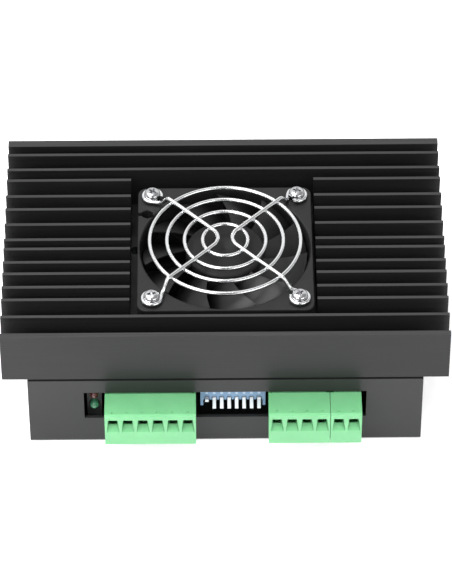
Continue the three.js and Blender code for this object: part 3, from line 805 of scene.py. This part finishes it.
# Heights above a plug's underside, and distances behind its front face.
FUNNEL = {"low": 6.1, "high": 12.05, "half": 2.15, "top_half": 1.6, "depth": 2.4}
THROAT = {"low": 8.15, "high": 11.8, "half": 1.5}  # inner end of a wire funnel
CAVITY = {"low": 5.6, "end": 9.3}
WELL = {"r": 2.0, "depth": 4, "neck_r": 1.5, "neck_end": 7.9}
CAGE = {"low": 7.2, "high": 11.7, "half": 1.45, "start": 6, "end": 9.2, "wall": 0.35, "back": 0.4}
DIMPLE = {"r": 0.5, "depth": 0.4, "behind": 1.5}  # over each pole
# Half widths, and distances behind the front of a header.
PIN = {"half": 0.55, "tip_half": 0.28, "tip": 2.5, "taper": 0.8, "end": 9.4}


def poles(name, count):
    """X of each pole of a terminal."""
    return [middle(f"{name}_clamp_screw_{i}").x for i in range(1, count + 1)]


def plug(name, count):
    """Screw-terminal plug: wire funnels in front, screw wells below, sockets behind."""
    node, body = f"{name}_plug", f"{name}_terminal"
    low, high = span(node)
    xs = poles(name, count)
    front, back = low.y, low.y + PLUG["depth"]
    nose_low, nose_top = low.z + PLUG["nose_low"], high.z - PLUG["nose_top"]
    foot, lead_in, brow = 0.3, 0.5, 0.55  # chamfers: front underside, nose, front top
    bm = bmesh.new()
    outline = [(front, low.z + foot), (front + foot, low.z), (back, low.z), (back, nose_low),
               (high.y - lead_in, nose_low), (high.y, nose_low + lead_in),
               (high.y, nose_top - lead_in), (high.y - lead_in, nose_top),
               (back, nose_top), (back, high.z), (front + brow, high.z), (front, high.z - brow)]
    profile_bar(bm, outline, low.x, high.x)
    sides = bmesh.new()
    for x0, x1 in ((low.x - 1, low.x + PLUG["inset"]), (high.x - PLUG["inset"], high.x + 1)):
        block(sides, (x0, back, low.z - 1), (x1, high.y + 1, high.z + 1))
    bm = carve(bm, sides)
    funnels, wells, marks = bmesh.new(), bmesh.new(), bmesh.new()
    screw_y = middle(f"{name}_clamp_screw_1").y
    pin_z = low.z + PLUG["pin_z"]
    for x in xs:
        wire_funnel(funnels, x, front, low.z)
        screw_well(wells, x, screw_y, low.z)
        dimple(marks, x, front + DIMPLE["behind"], high.z)
        block(wells, (x - SOCKET, SOCKET_FROM, pin_z - SOCKET),
              (x + SOCKET, high.y + 1, pin_z + SOCKET))
    bm = carve(carve(carve(bm, funnels), wells), marks)
    piece(f"{name}_plug_block", bm, MAT["plug"], body, bevel=0.1, node=node)
    cages = bmesh.new()
    for x in xs:
        join_into(cages, wire_cage(x, front, low.z))
    piece(f"{name}_wire_clamps", cages, MAT["zinc"], body)


def wire_funnel(bm, x, front, low_z):
    """Cutter for one wire entry: a funnel, and the cavity behind it."""
    y, half = front + FUNNEL["depth"], THROAT["half"]
    taper(bm, x, front - 0.1, (FUNNEL["half"], low_z + FUNNEL["low"], low_z + FUNNEL["high"],
                               FUNNEL["top_half"]),
          y, (half, low_z + THROAT["low"], low_z + THROAT["high"]))
    block(bm, (x - half, y - 0.1, low_z + CAVITY["low"]),
          (x + half, front + CAVITY["end"], low_z + THROAT["high"]))


def screw_well(bm, x, y, low_z):
    """Cutter for the stepped hole that a clamp screw sits in, open at the underside."""
    r, neck_r = WELL["r"], WELL["neck_r"]
    shelf, end = low_z + WELL["depth"], low_z + WELL["neck_end"]
    lathe(bm, [(0, low_z - 1), (r, low_z - 1), (r, shelf), (neck_r, shelf), (neck_r, end), (0, end)],
          32, Matrix.Translation((x, y, 0)))


def dimple(bm, x, y, high_z):
    """Cutter for a small round dimple in the top."""
    r, floor, above = DIMPLE["r"], high_z - DIMPLE["depth"], high_z + 0.1
    lathe(bm, [(0, floor), (r, floor), (r + 0.05, above), (0, above)], 24,
          Matrix.Translation((x, y, 0)))


def wire_cage(x, front, low_z):
    """One wire clamp: a box of sheet metal, open in front."""
    low = Vector((x - CAGE["half"], front + CAGE["start"], low_z + CAGE["low"]))
    high = Vector((x + CAGE["half"], front + CAGE["end"], low_z + CAGE["high"]))
    wall = CAGE["wall"]
    cage, hollow = bmesh.new(), bmesh.new()
    block(cage, low, high)
    block(hollow, (low.x + wall, low.y - 1, low.z + wall),
          (high.x - wall, high.y - CAGE["back"], high.z - CAGE["back"]))
    return carve(cage, hollow)


def header(name, count):
    """Shroud behind the window with one square pin for each pole."""
    node = f"{name}_header"
    low, high = span(node)
    wall, roof, depth = 1, 1.4, 9
    bm = bmesh.new()
    block(bm, low, high)
    hollow = bmesh.new()
    block(hollow, (low.x + wall, low.y - 1, low.z + wall),
          (high.x - wall, low.y + depth, high.z - roof))
    bm = carve(bm, hollow)
    piece(f"{name}_header_shroud", bm, MAT["header"], "driver", bevel=0.12, node=node)
    pins = bmesh.new()
    z = span(f"{name}_plug")[0].z + PLUG["pin_z"]
    tip, half = PIN["tip_half"], PIN["half"]
    y = low.y + PIN["tip"]
    shoulder = y + PIN["taper"]
    for x in poles(name, count):
        taper(pins, x, y, (tip, z - tip, z + tip), shoulder, (half, z - half, z + half))
        block(pins, (x - half, shoulder, z - half), (x + half, low.y + PIN["end"], z + half))
    piece(f"{name}_header_pins", pins, MAT["tin"], "driver")


def clamp_screw(name, i):
    """Slotted screw, head down in its well."""
    node = f"{name}_clamp_screw_{i}"
    low, high = span(node)
    at = middle(node)
    head, shank, shoulder = 1.7, 1.2, low.z + 2.4
    slot_half, slot_depth = 0.3, 0.9
    bm = bmesh.new()
    lathe(bm, [(0, low.z), (head - 0.25, low.z), (head, low.z + 0.25), (head, shoulder),
               (shank, shoulder), (shank, high.z - 0.3), (shank - 0.3, high.z), (0, high.z)], 32)
    slot = bmesh.new()
    block(slot, (-2.5, -slot_half, low.z - 1), (2.5, slot_half, low.z + slot_depth))
    bm = carve(bm, slot)
    piece(f"{node}_zinc", bm, MAT["zinc"], f"{name}_clamp_{i}", (at.x, at.y, 0), sharp=30,
          node=node)


# ----------------------------------------------------------------- switch and lights

LEVER = {"half": 0.6, "length": 3.6, "tip": 0.45, "root": 0.9}
UP, DOWN = -35, 20  # degrees that a lever is turned to rest up or down
DOT_R, DOT_LIFT, DOT_THICK = 0.5, 3.6, 0.02  # printed dots, above the levers' pivots


def dip_switch():
    """Blue body with a wide notch under a slotted brow, between two cheeks, and a printed
    dot above each lever."""
    low, high = span("dip_switch_body")
    pivot_z = PIVOTS["lever_1_flip"].z / MM
    inner, cheek, slot_half = low.y + 3, 1, 0.9
    bm = bmesh.new()
    block(bm, low, high)
    levers = [PIVOTS[f"lever_{i}_flip"].x / MM for i in range(1, 9)]
    hollow = bmesh.new()
    block(hollow, (low.x + cheek, low.y - 1, low.z - 1), (high.x - cheek, inner, pivot_z + 0.25))
    bm = carve(bm, hollow)
    slots = bmesh.new()
    for x in levers:
        block(slots, (x - slot_half, low.y - 1, pivot_z - 0.5), (x + slot_half, inner, pivot_z + 2))
    bm = carve(bm, slots)
    piece("dip_switch_shell", bm, MAT["blue"], "driver", bevel=0.1, node="dip_switch_body")
    dots = bmesh.new()
    lay = Matrix.Rotation(math.pi / 2, 4, "X")
    for x in levers:
        lathe(dots, [(0, -0.1), (DOT_R, -0.1), (DOT_R, DOT_THICK), (0, DOT_THICK)], 24,
              Matrix.Translation((x, low.y, pivot_z + DOT_LIFT)) @ lay)
    piece("dip_switch_dots", dots, MAT["ink"], "driver")
    for i, x in enumerate(levers, 1):
        dip_lever(i, x)


def dip_lever(i, x):
    """Flat lever with a rounded tip on a round root. The first one rests up."""
    pivot = PIVOTS[f"lever_{i}_flip"] / MM - Vector((0, FRONT / MM, 0))
    half, length, tip_r, root_r = (LEVER[key] for key in ("half", "length", "tip", "root"))
    bm = bmesh.new()
    tip = [(-length + tip_r - tip_r * math.cos(math.radians(a)), tip_r * math.sin(math.radians(a)))
           for a in range(60, -61, -20)]
    profile_bar(bm, [(0, half), *tip, (0, -half)], -half, half)
    root = [(root_r * math.cos(math.radians(a)), root_r * math.sin(math.radians(a)))
            for a in range(0, 360, 15)]
    profile_bar(bm, root, -half + 0.02, half - 0.02)
    angle = UP if i == 1 else DOWN
    bmesh.ops.rotate(bm, matrix=Matrix.Rotation(math.radians(angle), 3, "X"), verts=bm.verts)
    piece(f"dip_lever_{i}_moulding", bm, MAT["white"], f"lever_{i}", (x, pivot.y, pivot.z),
          bevel=0.08, node=f"dip_lever_{i}")


def indicator(node, finish):
    """Round-nosed light."""
    low, high = span(node)
    at = middle(node)
    r = (high.x - low.x) / 2
    length = high.y - low.y
    dome = [(r * math.cos(math.radians(a)), length - r + r * math.sin(math.radians(a)))
            for a in range(0, 90, 9)]
    lay = Matrix.Translation((at.x, high.y, at.z)) @ Matrix.Rotation(math.pi / 2, 4, "X")
    bm = bmesh.new()
    lathe(bm, [(0, 0), (r, 0), *dome, (0, length)], 40, lay)
    piece(f"{node}_epoxy", bm, finish, "driver", node=node)


# -------------------------------------------------------------------------- internals

def internals():
    """Looks of the CAD nodes inside, which keep their own shapes."""
    dress("control_board", MAT["board"])
    dress("thermal_pad", MAT["pad"])
    dress("processor", MAT["epoxy"])
    dress("fan_header", MAT["nylon"], 0.1)
    dress("light_holder", MAT["holder"], 0.1)
    dress("fan_shaft", MAT["zinc"], 0.1)
    dress("fan_bearing", MAT["bronze"], 0.1)
    dress("fan_stator", MAT["copper"])
    for i in range(1, 5):
        dress(f"board_spacer_{i}", MAT["brass"], 0.15)
        dress(f"power_transistor_{i}", MAT["transistor"], 0.1)
    for i in (1, 2):
        dress(f"capacitor_{i}", MAT["can"], 0.15)


# ---------------------------------------------------------------- light, floor, camera

def area_light(name, place, target, size, power, mirrored=True):
    """A soft light aimed at a target. The camera doesn't see it, and glossy surfaces don't
    either where it isn't mirrored."""
    lamp = bpy.data.lights.new(name, "AREA")
    lamp.shape = "RECTANGLE"
    lamp.size, lamp.size_y = size
    lamp.energy = power
    obj = bpy.data.objects.new(name, lamp)
    obj.location = place
    obj.rotation_euler = (Vector(target) - Vector(place)).to_track_quat("-Z", "Y").to_euler()
    obj.visible_camera, obj.visible_glossy = False, mirrored
    bpy.context.scene.collection.objects.link(obj)


def room(world):
    """Soft white studio: darker round the camera and on the upper right, and brighter high
    up at the back."""
    nodes, links = world.node_tree.nodes, world.node_tree.links
    split = nodes.new("ShaderNodeSeparateXYZ")
    links.new(nodes.new("ShaderNodeTexCoord").outputs["Generated"], split.inputs[0])

    def step(axis, low, high, ends=(0, 1)):
        node = nodes.new("ShaderNodeMapRange")
        node.interpolation_type = "SMOOTHSTEP"
        for socket, value in zip(("From Min", "From Max", "To Min", "To Max"), (low, high, *ends)):
            node.inputs[socket].default_value = value
        links.new(split.outputs[axis], node.inputs["Value"])
        return node.outputs["Result"]

    def shade(level, depth, *steps):
        """Take a depth of light away where all the steps are high, or add it if negative."""
        value = steps[0]
        for other in (*steps[1:], depth):
            value = combine("MULTIPLY", value, other)
        return combine("SUBTRACT", level, value)

    def combine(kind, first, second):
        node = nodes.new("ShaderNodeMath")
        node.operation = kind
        for socket, value in zip(node.inputs, (first, second)):
            if isinstance(value, (int, float)):
                socket.default_value = value
            else:
                links.new(value, socket)
        return node.outputs[0]

    round_camera = (step("X", -0.28, -0.1), step("X", 0.1, 0.28, (1, 0)),
                    step("Y", -0.45, -0.15, (1, 0)))
    level = shade(1.0, 0.75, *round_camera)
    upper_right = (step("X", 0.1, 0.3), step("Y", 0.5, 0.68, (1, 0)), step("Z", 0.35, 0.55))
    level = shade(level, 0.5, *upper_right)
    high_back = (step("Y", 0.5, 0.64), step("Z", 0.2, 0.45))
    level = shade(level, -0.33, *high_back)
    links.new(level, nodes["Background"].inputs["Color"])
    nodes["Background"].inputs["Strength"].default_value = 0.72


def studio():
    """World, lights and the pale floor."""
    scene = bpy.context.scene
    scene.view_settings.view_transform = "Standard"
    world = bpy.data.worlds.new("studio")
    world.use_nodes = True
    room(world)
    scene.world = world
    focus = (0, 0, 0.03)
    area_light("key", (-0.45, -0.6, 0.65), focus, (0.6, 0.4), 2.5)
    area_light("fill", (0.5, -0.6, 0.5), focus, (0.6, 0.4), 1.7)
    area_light("high", (-0.08, -0.32, 0.85), focus, (0.5, 0.3), 3.6, mirrored=False)
    area_light("over", (-0.3, 0.15, 0.85), focus, (0.5, 0.5), 4.4)
    area_light("front", (0.02, -0.7, 0.62), focus, (0.25, 0.2), 1.2, mirrored=False)
    area_light("floor_left", (-0.1, -0.1, 0.08), (-0.09, -0.1, 0), (0.06, 0.05), 0.04, mirrored=False)
    area_light("floor_right", (0.1, -0.1, 0.08), (0.09, -0.1, 0), (0.06, 0.05), 0.02, mirrored=False)
    bm = bmesh.new()
    bmesh.ops.create_grid(bm, x_segments=1, y_segments=1, size=3)
    mesh = bpy.data.meshes.new("floor")
    bm.to_mesh(mesh)
    bm.free()
    floor = bpy.data.objects.new("floor", mesh)
    scene.collection.objects.link(floor)
    paper = Finish("floor_white", Base_Color=(0.8, 0.8, 0.8, 1), Roughness=0.9,
                   Emission_Color=(1, 1, 1, 1), Emission_Strength=0.54)
    mesh.materials.append(paper.material)
    floor.location.z = -0.2 * MM


CAMERA = {"elevation": 45.13, "azimuth": -0.37, "roll": -0.15, "distance": 1.2848, "lens": 229}
CAMERA_TARGET = Vector((0.55, 41.84, 30.6))  # in millimetres, from the heatsink's front


def camera():
    """Long lens looking down at the front, as high above it as it is in front."""
    elevation, azimuth, roll = (math.radians(CAMERA[key]) for key in ("elevation", "azimuth", "roll"))
    target = CAMERA_TARGET * MM + Vector((0, FRONT, 0))
    back = Vector((math.sin(azimuth) * math.cos(elevation), -math.cos(azimuth) * math.cos(elevation),
                   math.sin(elevation)))
    data = bpy.data.cameras.new("camera")
    data.lens = CAMERA["lens"]
    data.clip_start, data.clip_end = 0.1, 20
    obj = bpy.data.objects.new("camera", data)
    obj.location = target + back * CAMERA["distance"]
    level = (-back).to_track_quat("-Z", "Y").to_matrix()
    obj.rotation_euler = (level @ Matrix.Rotation(roll, 3, "Z")).to_euler()
    bpy.context.scene.collection.objects.link(obj)
    bpy.context.scene.camera = obj


# ------------------------------------------------------------------------ whole object

SCREW_TURNS = ((12, 20), (57, 65), (31, 41), (74, 8))  # cross recess: fan screw, cover screw

camera()
studio()
casing()
for number, (fan_turn, cover_turn) in enumerate(SCREW_TURNS, 1):
    fan_screw(f"fan_screw_{number}", fan_turn)
    cover_screw(f"cover_screw_{number}", cover_turn)
fan_frame()
fan_rotor()
finger_guard()
for label, ways in (("signal", 6), ("motor", 4), ("power", 2)):
    header(label, ways)
    plug(label, ways)
    for number in range(1, ways + 1):
        clamp_screw(label, number)
dip_switch()
indicator("red_light", MAT["red"])
indicator("green_light", MAT["green"])
internals()
